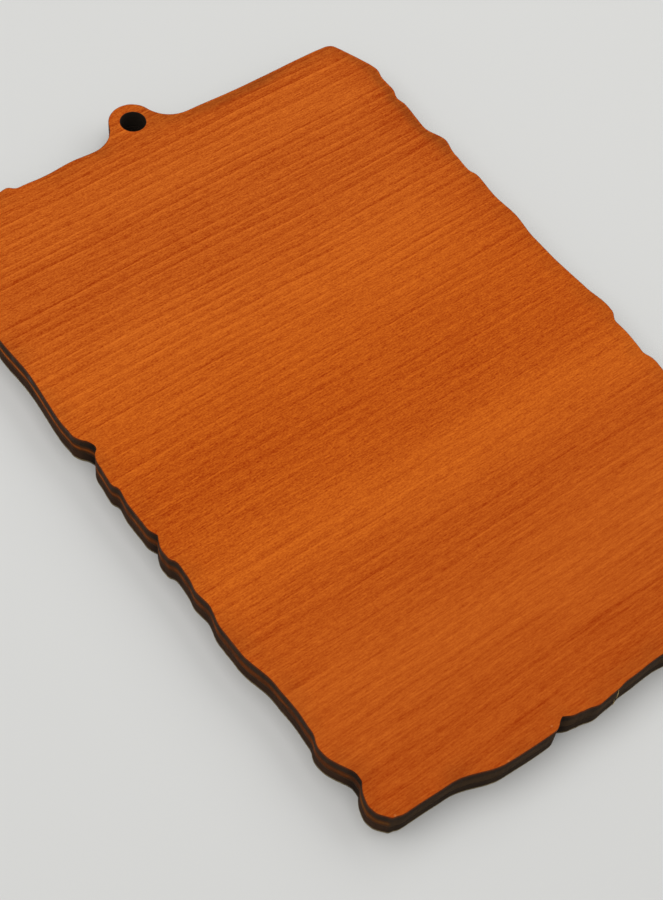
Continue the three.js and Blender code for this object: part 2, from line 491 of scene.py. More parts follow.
def points_inside():
    """Rows beside the edge and a staggered grid in the middle, with no two points in one place.

    ROWS_INSIDE gives each row's depth in mm, and how many steps of the path lie between two of its points.
    """
    points = []
    for depth, stride in ROWS_INSIDE.items():
        for path in (side_path, hole_path):
            row = (path - outward_of(path) * depth * MM)[::stride]
            points += [p for p in row if edge.find((*p, 0))[2] > depth * MM * ROW_KEEPS_OFF]
    low, high = side_path.min(axis=0), side_path.max(axis=0)
    for count, y in enumerate(np.arange(low[1], high[1], GRID_STEP * sin(pi / 3))):
        for x in np.arange(low[0] + GRID_STEP / 2 * (count % 2), high[0], GRID_STEP):
            if edge.find((x, y, 0))[2] > GRID_KEEPS_OFF:
                points.append((x, y))
    points = np.array(points)
    first_in_cell = np.unique(np.round(points / TOGETHER), axis=0, return_index=True)[1]
    return points[np.sort(first_in_cell)]


inner_points = points_inside()
print("points inside:", len(inner_points))

# %% Notches
NOTCH_WINDOW = 0.9 * MM
NOTCH_SOFTNESS = 0.7 * MM
FULL_NOTCH = radians(50)


def notches_of(path):
    """From 0 to 1, how sharply the path turns into the wood, over the window on both sides of each point."""
    way = heading(np.roll(path, -1, axis=0) - path)
    reach = round(NOTCH_WINDOW / POINT_STEP)
    turn = least_turn(np.roll(way, -reach) - np.roll(way, reach))
    notches = np.clip(-turn / FULL_NOTCH, 0, 1)
    soft = round(NOTCH_SOFTNESS / POINT_STEP)
    return np.mean([np.roll(notches, shift) for shift in range(-soft, soft + 1)], axis=0)


edge_notches = np.r_[notches_of(side_path), notches_of(hole_path)]
print("share of the edge in a notch:", round(float(np.mean(edge_notches > 0)), 2))

# %% Blank
SAME_POINT = 1e-6
INSIDE_ONLY = 1


def closed_edges(start, count):
    return [(start + i, start + (i + 1) % count) for i in range(count)]


def middle_inside(verts, face):
    """Whether a triangle's middle lies in the wood: the way out, at the nearest edge, leads away from it."""
    middle = sum((verts[v] for v in face), Vector((0, 0))) / len(face) * MM
    found, number, gap = edge.find((*middle, 0))
    path, own = (side_path, number) if number < len(side_path) else (hole_path, number - len(side_path))
    along = path[(own + 1) % len(path)] - path[own - 1]
    way = Vector((along[1], -along[0]))
    return way.dot(middle - found.xy) <= 0 or gap > POINT_STEP


def keep_on_points(mesh, name, kind, values):
    field = "vector" if kind == "FLOAT_VECTOR" else "value"
    mesh.attributes.new(name, kind, "POINT").data.foreach_set(field, np.ravel(values))


def blank_mesh():
    cut = np.vstack([side_path, hole_path])
    sides = len(side_path)
    points = [Vector(p) / MM for p in np.vstack([cut, inner_points])]
    cuts = closed_edges(0, sides) + closed_edges(sides, len(hole_path))
    verts, _, faces, origins, _, _ = delaunay_2d_cdt(points, cuts, [], INSIDE_ONLY, SAME_POINT)
    came_from = [min(o) for o in origins]
    over_hole = [all(sides <= came_from[v] < len(cut) for v in f) for f in faces]
    faces = [f for f, drop in zip(faces, over_hole) if not drop and middle_inside(verts, f)]
    mesh = bpy.data.meshes.new("blank")
    mesh.from_pydata([(*(v * MM), 0) for v in verts], [], faces)
    ways = np.vstack([outward_of(side_path), outward_of(hole_path)])
    outward = [(*ways[o], 0) if o < len(cut) else (0, 0, 0) for o in came_from]
    nearest = [edge.find((*(v * MM), 0)) for v in verts]
    keep_on_points(mesh, "outward", "FLOAT_VECTOR", outward)
    keep_on_points(mesh, "edge_distance", "FLOAT", [gap / MM for _, _, gap in nearest])
    keep_on_points(mesh, "notch", "FLOAT", [edge_notches[number] for _, number, _ in nearest])
    return mesh


blank = blank_mesh()
print("blank:", len(blank.vertices), "points,", len(blank.polygons), "triangles")

# %% [markdown]
# ## Cutting a layer from the blank
#
# The laser melts and burns its way down. It leaves a wall with fine upright ridges, a softened upper
# corner, and glue lines that burn back a little further than the wood. Every layer gets the same cut, so
# the cut is a rule, and a Geometry Nodes tree can hold it: the rim of the blank is pulled down row by row,
# the first and last rows curl round the corners, and all rows move along `outward` by a noise that is
# stretched along the beam.
#
# The two flat faces are the only ones that look straight up or down, so their direction tells the tree
# which finish they get, and everything else is wall.


# %% How every tree starts and ends
def open_tree(name, sockets):
    """A new Geometry Nodes tree with named inputs, given back as values by name."""
    tree = bpy.data.node_groups.new(name, "GeometryNodeTree")
    for way in ("INPUT", "OUTPUT"):
        tree.interface.new_socket("Geometry", in_out=way, socket_type="NodeSocketGeometry")
    for label, kind in sockets.items():
        tree.interface.new_socket(label, in_out="INPUT", socket_type="NodeSocket" + kind)
    graph = Graph(tree)
    given = tree.nodes.new("NodeGroupInput")
    return graph, {socket.name: Value(graph, socket) for socket in given.outputs if socket.name}


def painted(graph, shape, finishes):
    """The end of a tree: real geometry, with each finish on the faces that it is for."""
    shape = graph.node("GeometryNodeRealizeInstances", None, {"Geometry": shape})
    for finish, faces in finishes:
        inputs = {"Geometry": shape, "Selection": faces, "Material": finish}
        shape = graph.node("GeometryNodeSetMaterial", None, inputs)
    graph.node("NodeGroupOutput", None, {"Geometry": shape})
    return graph.tree


def moved(graph, shape, offset):
    return graph.node("GeometryNodeSetPosition", None, {"Geometry": shape, "Offset": offset})


# %% The rim pulled down
def cut_wall(graph, value):
    """The blank at the layer's top, its rim pulled down row by row, and the blank turned over below."""
    top = moved(graph, value["Geometry"], graph.vector(0, 0, value["Top"]))
    bottom = moved(graph, value["Geometry"], graph.vector(0, 0, value["Bottom"]))
    bottom = graph.node("GeometryNodeFlipFaces", None, {"Mesh": bottom})
    enter = graph.tree.nodes.new("GeometryNodeRepeatInput")
    leave = graph.tree.nodes.new("GeometryNodeRepeatOutput")
    enter.pair_with_output(leave)
    graph.plug(enter.inputs["Iterations"], value["Rows"])
    graph.plug(enter.inputs["Geometry"], top)
    faces_there = graph.node("GeometryNodeInputMeshEdgeNeighbors")
    on_rim = {"data_type": "INT", "operation": "EQUAL"}
    rim = graph.node("FunctionNodeCompare", on_rim, {"A_INT": faces_there, "B_INT": 1})
    drop = graph.vector(0, 0, (value["Bottom"] - value["Top"]) / value["Rows"])
    pulled = {"Mesh": Value(graph, enter.outputs["Geometry"]), "Selection": rim, "Offset": drop}
    row = graph.node("GeometryNodeExtrudeMesh", {"mode": "EDGES"}, pulled)
    graph.plug(leave.inputs["Geometry"], row)
    joined = graph.tree.nodes.new("GeometryNodeJoinGeometry")
    graph.tree.links.new(bottom.socket, joined.inputs[0])
    graph.tree.links.new(leave.outputs["Geometry"], joined.inputs[0])
    both = {"Geometry": Value(graph, joined.outputs[0]), "Distance": WELD}
    return graph.node("GeometryNodeMergeByDistance", None, both)


# %% Round corners and ridges
RIDGES = {
    "pulses": {"per_mm": (2.6, 2.6, 0.25), "detail": 3},
    "waves": {"per_mm": (0.8, 0.8, 0.5), "detail": 1, "shift": 4},
}
QUARTER_TURN = pi / 2


def ridges_at(graph):
    place = graph.scaled(graph.node("GeometryNodeInputPosition"), 1 / MM)
    return sum(graph.noise(place, **ridge) for ridge in RIDGES.values())


def bend_wall(graph, value, sheet):
    """The rows near the corners follow a quarter circle, and the others share what is left between them."""
    height = graph.parts(graph.node("GeometryNodeInputPosition"))[2]
    thickness = value["Top"] - value["Bottom"]
    row = (value["Top"] - height) / thickness * value["Rows"]
    upper_turn = (row / value["Upper Rows"]).at_most(1) * QUARTER_TURN
    lower_turn = ((value["Rows"] - row) / value["Lower Rows"]).at_most(1) * QUARTER_TURN
    straight = (row - value["Upper Rows"]) / (value["Rows"] - value["Upper Rows"] - value["Lower Rows"])
    straight = straight.as_share() * (thickness - value["Upper Round"] - value["Lower Round"])
    upper_drop = value["Upper Round"] * (1 - upper_turn.cosine())
    lower_drop = value["Lower Round"] * lower_turn.cosine()
    new_height = value["Top"] - upper_drop - straight - lower_drop
    inset = value["Upper Round"] * (1 - upper_turn.sine()) + value["Lower Round"] * (1 - lower_turn.sine())
    direction = {"data_type": "FLOAT_VECTOR"}
    outward = graph.node("GeometryNodeInputNamedAttribute", direction, {"Name": "outward"})
    step = ridges_at(graph) * value["Ridge Height"] - inset - value["Burnt Back"]
    sideways = graph.parts(graph.scaled(outward, step))
    at_edge = graph.dot(outward, outward) > 0.5
    return moved(graph, sheet, graph.vector(sideways[0], sideways[1], (new_height - height) * at_edge))


# %% The cutting tree
FLAT = 0.995
SIZES = ("Bottom", "Top", "Upper Round", "Lower Round", "Burnt Back", "Ridge Height")
COUNTS = ("Rows", "Upper Rows", "Lower Rows")
FINISHES = ("Cut Finish", "Upper Finish", "Lower Finish")


def layer_tree():
    kinds = {"Float": SIZES, "Int": COUNTS, "Material": FINISHES}
    sockets = {label: kind for kind, labels in kinds.items() for label in labels}
    graph, value = open_tree("cut_layer", sockets)
    sheet = bend_wall(graph, value, cut_wall(graph, value))
    facing = graph.parts(graph.node("GeometryNodeInputNormal"))[2]
    smooth = {"Geometry": sheet, "Selection": abs(facing) < FLAT, "Shade Smooth": True}
    sheet = graph.node("GeometryNodeSetShadeSmooth", None, smooth)
    faces = (True, facing > FLAT, facing < -FLAT)
    return painted(graph, sheet, [(value[name], chosen) for name, chosen in zip(FINISHES, faces)])


cutting = layer_tree()
print("cutting tree:", len(cutting.nodes), "nodes")

# %% [markdown]
# ## Wood that goes all the way through
#
# Grain is not printed on a board. It is a bundle of fibres, and every cut shows another slice of it. So the
# grain here is a solid pattern, read at the point's own place in the board, and the back, the walls and the
# hole agree.
#
# Each kind of mark is one noise, squeezed across the fibres and drawn out along them: short hair-fine
# fibres, streaks a few millimetres long, ribbons and soft bands from the growth of the tree, and dark
# pores. Only the fine mottle is hardly drawn out. The years are not a noise but a repeat: within each year
# the wood darkens slowly, ends in a dark line, and starts light again, so `fraction` of the distance across
# gives them, once the distance is made uneven. All marks but the mottle are bent by a slow drift, because
# no tree grows quite straight.

# %% Noises of the grain
GRAIN_NOISES = {
    "drift": {"per_mm": (0.02, 0.04, 0.04), "detail": 2, "shift": 7},
    "ripple": {"per_mm": (0.1, 0.22, 0.22), "detail": 1, "shift": 3},
    "uneven years": {"per_mm": (0.008, 0.25, 0.25), "detail": 2, "shift": 71},
    "clear years": {"per_mm": (0.04, 0.4, 0.4), "detail": 2, "shift": 83},
    "fibres": {"per_mm": (0.9, 6.0, 6.0), "detail": 2, "roughness": 0.6, "shift": 0},
    "streaks": {"per_mm": (0.14, 2.6, 2.6), "detail": 2, "roughness": 0.6, "shift": 11},
    "ribbons": {"per_mm": (0.04, 0.8, 0.8), "detail": 2, "shift": 23},
    "bands": {"per_mm": (0.012, 0.16, 0.16), "detail": 1, "shift": 31},
    "pores": {"per_mm": (0.3, 4.2, 4.2), "detail": 1, "shift": 43},
    "mottle": {"per_mm": (3.8, 6.0, 6.0), "detail": 2, "roughness": 0.6, "shift": 59},
}


def millimetres(graph):
    return graph.scaled(graph.node("ShaderNodeTexCoord", None, None, "Object"), 1 / MM)


def grain_noise(graph, place, name, seed):
    """One of the noises above, moved by the seed, so that the back, the outer plies and the core differ."""
    settings = dict(GRAIN_NOISES[name])
    settings["shift"] += seed
    return graph.noise(place, **settings)


print("noises of the grain:", len(GRAIN_NOISES))

# %% Years
YEAR_WIDTH = 1.22
UNEVEN_YEARS = 1.0
DARK_RISES = (0.45, 0.93)
DARK_FALLS = (0.95, 1.0)
DARK_SHOWS = 0.85
LIGHT_FALLS = (0.0, 0.35)
LIGHT_SHOWS = 0.8
CLEAR_YEARS = 0.6


def year_lines(graph, place, seed):
    """Below 0 at the dark end of each year, above 0 at its light start, and clearer in some places."""
    uneven = grain_noise(graph, place, "uneven years", seed) * UNEVEN_YEARS
    year = ((uneven - graph.parts(place)[1]) / YEAR_WIDTH).fraction()
    dark_end = graph.fade(year, *DARK_RISES) * (1 - graph.fade(year, *DARK_FALLS))
    light_start = 1 - graph.fade(year, *LIGHT_FALLS)
    clear = (grain_noise(graph, place, "clear years", seed) + CLEAR_YEARS).as_share()
    return (light_start * LIGHT_SHOWS - dark_end * DARK_SHOWS) * clear


print("years in 10 mm:", round(10 / YEAR_WIDTH, 1))

# %% All marks of a piece of wood
GRAIN_TILT = -0.02
DRIFT_REACH = 0.7
RIPPLE_REACH = 0.12
PORE_LIMITS = (0.28, 0.62)


def wood_grain(graph, grain_axis, seed=0.0):
    """The marks of a solid piece of wood, each a value about 0, by name."""
    x, y, z = graph.parts(millimetres(graph))
    along, across = (x, y) if grain_axis == "X" else (y, x)
    flat = graph.vector(along, across, z)
    drift = grain_noise(graph, flat, "drift", seed) * DRIFT_REACH
    ripple = grain_noise(graph, flat, "ripple", seed) * RIPPLE_REACH
    place = graph.vector(along, across + along * GRAIN_TILT + drift + ripple, z)
    drawn_out = ("fibres", "streaks", "ribbons", "bands")
    marks = {name: grain_noise(graph, place, name, seed) for name in drawn_out}
    marks["years"] = year_lines(graph, place, seed)
    marks["pores"] = graph.fade(grain_noise(graph, place, "pores", seed), *PORE_LIMITS)
    marks["mottle"] = grain_noise(graph, flat, "mottle", seed)
    return marks


def added_up(marks, strengths):
    """The named marks in one sum, each times its own strength."""
    return sum(marks[name] * strength for name, strength in strengths.items())


# %% What all finishes share
def new_finish(name):
    material = bpy.data.materials.new(name)
    material.use_nodes = True
    material.node_tree.nodes.clear()
    return material, Graph(material.node_tree)


def kept(graph, name, output="Fac"):
    """What the mesh keeps at its points: a number, or with the output Vector a direction."""
    return graph.node("ShaderNodeAttribute", {"attribute_name": name}, None, output)


def cloudy(graph, clouds, spread, mean, colours):
    """From the dark colour to the light one as the clouds go up."""
    return graph.mix((clouds * spread + mean).as_share(), colours["dark"], colours["light"])


def surface(graph, colour, roughness, relief, depth, constants):
    """The shader of every finish. relief is from about -1 to 1, and depth says how many mm high 1 is."""
    bump = graph.node("ShaderNodeBump", None, {"Strength": 1.0, "Distance": depth * MM, "Height": relief})
    values = {"Base Color": colour, "Roughness": roughness, "Normal": bump} | constants
    shader = graph.node("ShaderNodeBsdfPrincipled", None, values)
    graph.node("ShaderNodeOutputMaterial", None, {"Surface": shader})


def tell_nodes(*finishes):
    for finish in finishes:
        print(finish.name, "has", len(finish.node_tree.nodes), "nodes")


# %% [markdown]
# ## The stained back
#
# The back is a pale, close-grained veneer under an orange-brown stain and a thin satin varnish. Stain sinks
# deeper into soft fibres than into hard ones, so the grain shows as a mix of two oranges, a deep and a
# light one, and not as separate colours. Smoke from the laser leaves a patchy brown haze along the edges.
#
# Where the stain went on thicker or thinner is chance, and a noise would put it anywhere. So the few broad
# marks that the photograph shows are placed one by one: soft bands up the board, a richer tone across its
# middle, three darker patches near the top and right edges, and the rims where the smoke hung. Where the
# edge is chipped, a speck of bare wood shows.

# %% Broad marks of the stain
STAIN_BANDS = {
    "light middle": {"middle": 12, "reach": 11, "tone": 0.14},
    "its lower edge": {"middle": 6, "reach": 4, "tone": 0.04},
    "dark middle": {"middle": -4, "reach": 6, "tone": -0.05},
    "light line": {"middle": -13, "reach": 5, "tone": 0.15},
    "dark line": {"middle": -21, "reach": 5, "tone": -0.06},
    "light foot": {"middle": -29, "reach": 5, "tone": 0.05},
    "light top": {"middle": 33, "reach": 5, "tone": 0.09},
}
FOOT_DARKENS = {"start": -32, "end": -43, "tone": -0.14}
DARK_PATCHES = {
    "right of the ear": {"middle": (13, 41), "reach": (15, 5), "tone": -0.13},
    "right edge": {"middle": (27.5, 29), "reach": (6.5, 14), "tone": -0.23},
    "right middle": {"middle": (31, 11), "reach": (15, 15), "tone": -0.25},
}
BAND_WAVES = {"per_mm": (0.05, 0.05, 0.05), "detail": 1, "shift": 9}
BAND_WAVE_REACH = 3


def distance_from(x, y, middle, reach):
    """How far off a place is: 0 at its middle and 1 at its reach, which may differ across and up."""
    across = (x - middle[0]) * (1 / reach[0])
    up = (y - middle[1]) * (1 / reach[1])
    return (across ** 2 + up ** 2) ** 0.5


def placed_stain(graph, x, y):
    """How much lighter or darker the stain is at the broad marks."""
    wavy = y + graph.noise(millimetres(graph), **BAND_WAVES) * BAND_WAVE_REACH
    tone = graph.fade(-1 * wavy, -FOOT_DARKENS["start"], -FOOT_DARKENS["end"]) * FOOT_DARKENS["tone"]
    for band in STAIN_BANDS.values():
        tone = tone + graph.near(wavy, band["middle"], band["reach"]) * band["tone"]
    for patch in DARK_PATCHES.values():
        far = distance_from(x, y, patch["middle"], patch["reach"])
        tone = tone + (1 - graph.fade(far, 0, 1)) * patch["tone"]
    return tone


print("placed marks:", len(STAIN_BANDS), "bands,", len(DARK_PATCHES), "patches")

# %% Smoke
SMOKED_RIMS = {
    "right of the ear": {"middle": (12, 40), "reach": (12, 5)},
    "right edge": {"middle": (29, 28), "reach": (8, 17)},
}
MARK_CORE = 0.3
HAZE = {"per_mm": (0.22, 0.22, 0.22), "detail": 2, "shift": 5}
HAZE_MEAN = 0.3
HAZE_FADES = (0.1, 3.0)
HAZE_SHARE = 0.3
HUNG_STARTS = (0.05, 0.35)
HUNG_FADES = (0.4, 1.8)
HUNG_SHARE = 0.34


def any_mark(graph, x, y, places):
    """1 at the middle of each place, and 0 beyond its reach."""
    most = None
    for middle, reach in places:
        mark = 1 - graph.fade(distance_from(x, y, middle, reach), MARK_CORE, 1)
        most = mark if most is None else most.at_least(mark)
    return most


def smoke(graph, x, y, gap):
    """A thin patchy haze along every edge, and a thicker one just inside the rim where the smoke hung."""
    patches = graph.noise(millimetres(graph), **HAZE) + HAZE_MEAN
    thin = (1 - graph.fade(gap, *HAZE_FADES)) * patches.as_share() * HAZE_SHARE
    hung = any_mark(graph, x, y, [(rim["middle"], rim["reach"]) for rim in SMOKED_RIMS.values()])
    inside = graph.fade(gap, *HUNG_STARTS) * (1 - graph.fade(gap, *HUNG_FADES))
    return thin + inside * hung * HUNG_SHARE


# %% Tone of the back
FINE_MARKS = {"fibres": 0.48, "streaks": 0.28, "mottle": 0.6, "years": 0.14, "pores": -0.06}
FINE_AT_FOOT = {"streaks": 0.09, "mottle": -0.24}
FINE_AT_TOP = {"years": 0.14}
BROAD_MARKS = {"ribbons": 0.09, "bands": 0.06}
BROAD_AT_FOOT = {"ribbons": 0.09}
FOOT_BLENDS = (-36, -8)
TOP_BLENDS = (-12, 25)
CONTRAST = 1.22
CALM_FOOT = 0.38
MEAN_TONE = 0.488


def back_tone(graph, grain, x, y):
    """0 for the deep stain, 1 for the light one. The foot is calmer, and the years show more at the top."""
    foot = 1 - graph.fade(y, *FOOT_BLENDS)
    top = graph.fade(y, *TOP_BLENDS)
    fine = added_up(grain, FINE_MARKS) + added_up(grain, FINE_AT_FOOT) * foot
    fine = fine + added_up(grain, FINE_AT_TOP) * top
    broad = added_up(grain, BROAD_MARKS) + added_up(grain, BROAD_AT_FOOT) * foot
    broad = broad + placed_stain(graph, x, y)
    return (fine * (CONTRAST - foot * CALM_FOOT) + broad + MEAN_TONE).as_share()


# %% Stained back
STAIN = {"dark": srgb(156, 52, 0), "light": srgb(214, 110, 33)}
RICH_STAIN = {"dark": srgb(156, 50, 0), "light": srgb(214, 107, 25)}
RICHEST = {"middle": -4, "reach": 32}
SMOKE_BROWN = srgb(108, 58, 17)
SCORCH = srgb(60, 30, 18)
SCORCH_WIDTH = 0.07
SCORCH_SHARE = 0.5
BARE_WOOD = srgb(212, 132, 70)
CHIPS = ((-25.9, -42.6), (-13.7, -44.3), (-8.0, -43.8), (-8.0, 40.1))
CHIP_REACH = (0.18, 0.18)
CHIP_SHARE = 0.38
BACK_GLOSS = {"streaks": -0.06, "pores": 0.1}
BACK_RELIEF = {"fibres": 0.5, "years": 0.5, "pores": -1.0}


def stained_back():
    material, graph = new_finish("stained_back")
    grain = wood_grain(graph, "X")
    x, y = graph.parts(millimetres(graph))[:2]
    rich = graph.near(y, **RICHEST)
    dark, light = (graph.mix(rich, STAIN[end], RICH_STAIN[end]) for end in ("dark", "light"))
    colour = graph.mix(back_tone(graph, grain, x, y), dark, light)
    gap = kept(graph, "edge_distance")
    colour = graph.mix(smoke(graph, x, y, gap), colour, SMOKE_BROWN)
    colour = graph.mix((1 - graph.fade(gap, 0, SCORCH_WIDTH)) * SCORCH_SHARE, colour, SCORCH)
    chips = any_mark(graph, x, y, [(chip, CHIP_REACH) for chip in CHIPS])
    colour = graph.mix(chips * CHIP_SHARE, colour, BARE_WOOD)
    roughness = added_up(grain, BACK_GLOSS) + 0.5
    relief = added_up(grain, BACK_RELIEF)
    surface(graph, colour, roughness, relief, depth=0.006, constants={"Specular IOR Level": 0.03})
    return material


back_face = stained_back()
tell_nodes(back_face)

# %% [markdown]
# ## Burnt walls
#
# A laser cuts by burning, so the walls of the plaque are charred, but not evenly. Where the wall cuts the
# fibres across, they drink in the heat and turn almost black. Where it runs along them, the wood is only
# browned. The outer plies have their grain across the plaque and the core has it up and down. So on the
# long sides the core is a brown band between two dark ones, with a thin orange line along its middle, where
# the heat was least. On the top and bottom sides everything is the same dark brown.
#
# How far a wall faces along the fibres is the dot product of `outward` and the grain's direction, so one
# rule gives the colour all round the outline. `notch` then blackens the inner corners: they are charred
# harder, and their shade is painted into the same black. The hole is so small that the heat had nowhere
# to go, so its wall is charred alike all round.

# %% What all burnt walls share
# Near-black of heavy char, and of the painted shade in notches and inner corners.
CHAR_AND_NOTCH_SHADE_BLACK = srgb(18, 13, 10)
HOLE_CHAR = srgb(50, 42, 35)
HOLE_REACH = (2.0, 2.0)
HOLE_CORE = 0.85
CUTS_ACROSS = (0.45, 0.95)
LUMPS = {"per_mm": (0.42, 0.42, 0.6), "detail": 2, "roughness": 0.6}
BEAM_MARKS = {"per_mm": (3.0, 3.0, 0.3), "detail": 2, "roughness": 0.6, "shift": 17}
CHARRED = {"lumps": -0.5, "beam": -0.35}
CHARRED_MEAN = 0.2
WALL_RELIEF = {"beam": 0.7, "lumps": 0.4}


def end_grain(graph, grain_axis):
    """1 where the wall cuts the fibres across and 0 where it runs along them."""
    way = (1, 0, 0) if grain_axis == "X" else (0, 1, 0)
    return graph.fade(abs(graph.dot(kept(graph, "outward", "Vector"), way)), *CUTS_ACROSS)


def inside_hole(graph):
    """1 on the wall of the hanging hole, and 0 from a little way into the wood."""
    x, y = graph.parts(millimetres(graph))[:2]
    middle = [float(place) for place in hole_path.mean(axis=0) / MM]
    return 1 - graph.fade(distance_from(x, y, middle, HOLE_REACH), HOLE_CORE, 1)


def burnt_surface(graph, colour, lumps, in_notch):
    """The charred relief and dull sheen of all burnt wood. in_notch is how black a notch goes, char and
    painted shade together.
    """
    marks = {"lumps": lumps, "beam": graph.noise(millimetres(graph), **BEAM_MARKS)}
    charred = (added_up(marks, CHARRED) + CHARRED_MEAN).as_share()
    # Random char, and in the notches char with painted shade, both drawn towards the same black.
    colour = graph.mix(charred.at_least(kept(graph, "notch") * in_notch), colour, CHAR_AND_NOTCH_SHADE_BLACK)
    colour = graph.mix(inside_hole(graph), colour, HOLE_CHAR)
    roughness = marks["beam"] * 0.1 + 0.75
    relief = added_up(marks, WALL_RELIEF)
    surface(graph, colour, roughness, relief, depth=0.012, constants={"Specular IOR Level": 0.04})


# %% Outer plies
BACK_CUT = {"across": srgb(64, 47, 34), "along": srgb(59, 43, 30)}
FRONT_CUT = {"across": srgb(67, 45, 31), "along": srgb(54, 40, 28)}
# How black a notch goes on the outer plies: char and painted shade together.
OUTER_NOTCH = 0.9
# Painted sheen: a bluish grey for the glint on the back ply's wall, mixed in where a noise is high.
PAINTED_SHEEN_GREY = srgb(92, 86, 86)
SHEEN_PATCHES = {"per_mm": (0.7, 0.7, 1.2), "detail": 2, "shift": 33}
SHEEN_PATCH_LIMITS = (0.0, 0.6)
SHEEN_RISES_UP = (-25, 20)
SHEEN_SHARE = 0.6
STAINED_LIP = srgb(124, 58, 26)
LIP_DEPTH = 0.5
LIP_SHARE = 0.8


def painted_sheen_and_lip(graph, colour):
    """On the back ply: a painted bluish-grey sheen where a noise is high, more towards the top of the board,
    and a lip where the stain ran over the edge.
    """
    y, z = graph.parts(millimetres(graph))[1:]
    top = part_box("back_veneer")[1].z / MM
    painted_sheen = graph.fade(graph.noise(millimetres(graph), **SHEEN_PATCHES), *SHEEN_PATCH_LIMITS)
    # Painted sheen: bluish grey where the noise is high, rising towards the top of the board.
    colour = graph.mix(painted_sheen * graph.fade(y, *SHEEN_RISES_UP) * SHEEN_SHARE, colour, PAINTED_SHEEN_GREY)
    return graph.mix(graph.fade(z, top - LIP_DEPTH, top) * LIP_SHARE, colour, STAINED_LIP)


def burnt_outer(name, colours):
    """An outer ply's wall, with one colour where it cuts the fibres and another where it runs along them."""
    material, graph = new_finish(name)
    colour = graph.mix(end_grain(graph, "X"), colours["along"], colours["across"])
    if colours is BACK_CUT:
        colour = painted_sheen_and_lip(graph, colour)
    burnt_surface(graph, colour, graph.noise(millimetres(graph), **LUMPS, shift=29), OUTER_NOTCH)
    return material


back_wall = burnt_outer("burnt_back_ply", BACK_CUT)
front_wall = burnt_outer("burnt_front_ply", FRONT_CUT)
tell_nodes(back_wall, front_wall)

# %% Core ply
CORE_CHAR = srgb(70, 52, 34)
CORE_BROWN = srgb(108, 52, 14)
CORE_ORANGE = srgb(205, 106, 30)
CORE_GOLD = srgb(150, 122, 22)
# How black a notch goes on the core: char and painted shade together.
CORE_NOTCH = 0.55
CORE_PATCHES = {"per_mm": (0.5, 0.5, 0.3), "detail": 2, "roughness": 0.6, "shift": 41}
LINE_RAISED = 0.07
LINE_WANDERS = 0.1
BROWN_FADES = (0.2, 0.8)
BROWN = {"mean": 0.9, "lumps": 0.5}
ORANGE_FADES = (0.05, 0.3)
GLOW = {"mean": 0.13, "patches": 0.7, "upper": 0.56, "rises": (-5, 16)}
GOLD_FOOT = {"down": (34, 41), "share": 0.8}
GOLD_PATCH = {"limits": (0.15, 0.6), "share": 0.6}


def burnt_core():
    material, graph = new_finish("burnt_core_ply")
    y, z = graph.parts(millimetres(graph))[1:]
    low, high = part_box("core_ply")
    lumps = graph.noise(millimetres(graph), **LUMPS, shift=37)
    patches = graph.noise(millimetres(graph), **CORE_PATCHES)
    along = 1 - end_grain(graph, "Y")
    middle = (low.z + high.z) / 2 / MM + LINE_RAISED
    off_middle = abs(z - middle + lumps * LINE_WANDERS)
    brown = (1 - graph.fade(off_middle, *BROWN_FADES)) * (lumps * BROWN["lumps"] + BROWN["mean"]).as_share()
    colour = graph.mix(brown * along, CORE_CHAR, CORE_BROWN)
    gold = graph.fade(-1 * y, *GOLD_FOOT["down"]) * GOLD_FOOT["share"]
    gold = (gold + graph.fade(patches, *GOLD_PATCH["limits"]) * GOLD_PATCH["share"]).as_share()
    glow = graph.fade(y, *GLOW["rises"]) * GLOW["upper"] + patches * GLOW["patches"] + GLOW["mean"]
    line = (1 - graph.fade(off_middle, *ORANGE_FADES)) * along * glow.as_share()
    colour = graph.mix(line, colour, graph.mix(gold, CORE_ORANGE, CORE_GOLD))
    burnt_surface(graph, colour, lumps, CORE_NOTCH)
    return material


core_wall = burnt_core()
tell_nodes(core_wall)

# %% [markdown]
# ## Glue, and the faces that it hides
#
# Between the layers the wood is soaked with resin, and the resin itself is a thin cured film. The faces
# that it hides are never seen, but each layer is a piece of its own that may be looked at alone. So they
# get the same grain in a duller colour, turned with the ply, and the films get clouds and fine bubbles.

# %% Glued faces
GLUED_WOOD = {"dark": srgb(150, 104, 62), "light": srgb(206, 166, 112)}
GLUED_MARKS = {"fibres": 0.4, "streaks": 0.4, "bands": 0.3}
BROWNED_RIM = 0.5


def glued_wood(name, grain_axis, seed):
    """The inner face of a ply, which resin has soaked."""
    material, graph = new_finish(name)
    grain = wood_grain(graph, grain_axis, seed)
    colour = cloudy(graph, added_up(grain, GLUED_MARKS), spread=1.0, mean=0.5, colours=GLUED_WOOD)
    colour = graph.mix(1 - graph.fade(kept(graph, "edge_distance"), 0, BROWNED_RIM), colour, CORE_CHAR)
    roughness = 0.6 - grain["streaks"] * 0.1
    surface(graph, colour, roughness, grain["fibres"], depth=0.01, constants={"Specular IOR Level": 0.3})
    return material


outer_inside = glued_wood("glued_outer_ply", "X", 3)
core_inside = glued_wood("glued_core_ply", "Y", 6)
tell_nodes(outer_inside, core_inside)

# %% Glue and adhesive
GLUE = {"dark": srgb(34, 24, 17), "light": srgb(58, 38, 24)}
ADHESIVE = {"dark": srgb(84, 66, 40), "light": srgb(140, 120, 78)}
CLOUDS = {"per_mm": (0.6, 0.6, 2.0), "detail": 3, "roughness": 0.6, "shift": 53}
BUBBLES = {"per_mm": (6, 6, 6), "detail": 1, "shift": 61}
BUBBLE_LIMITS = (0.4, 0.7)
# How black a film goes in a notch: char and painted shade together.
FILM_NOTCH = 0.85


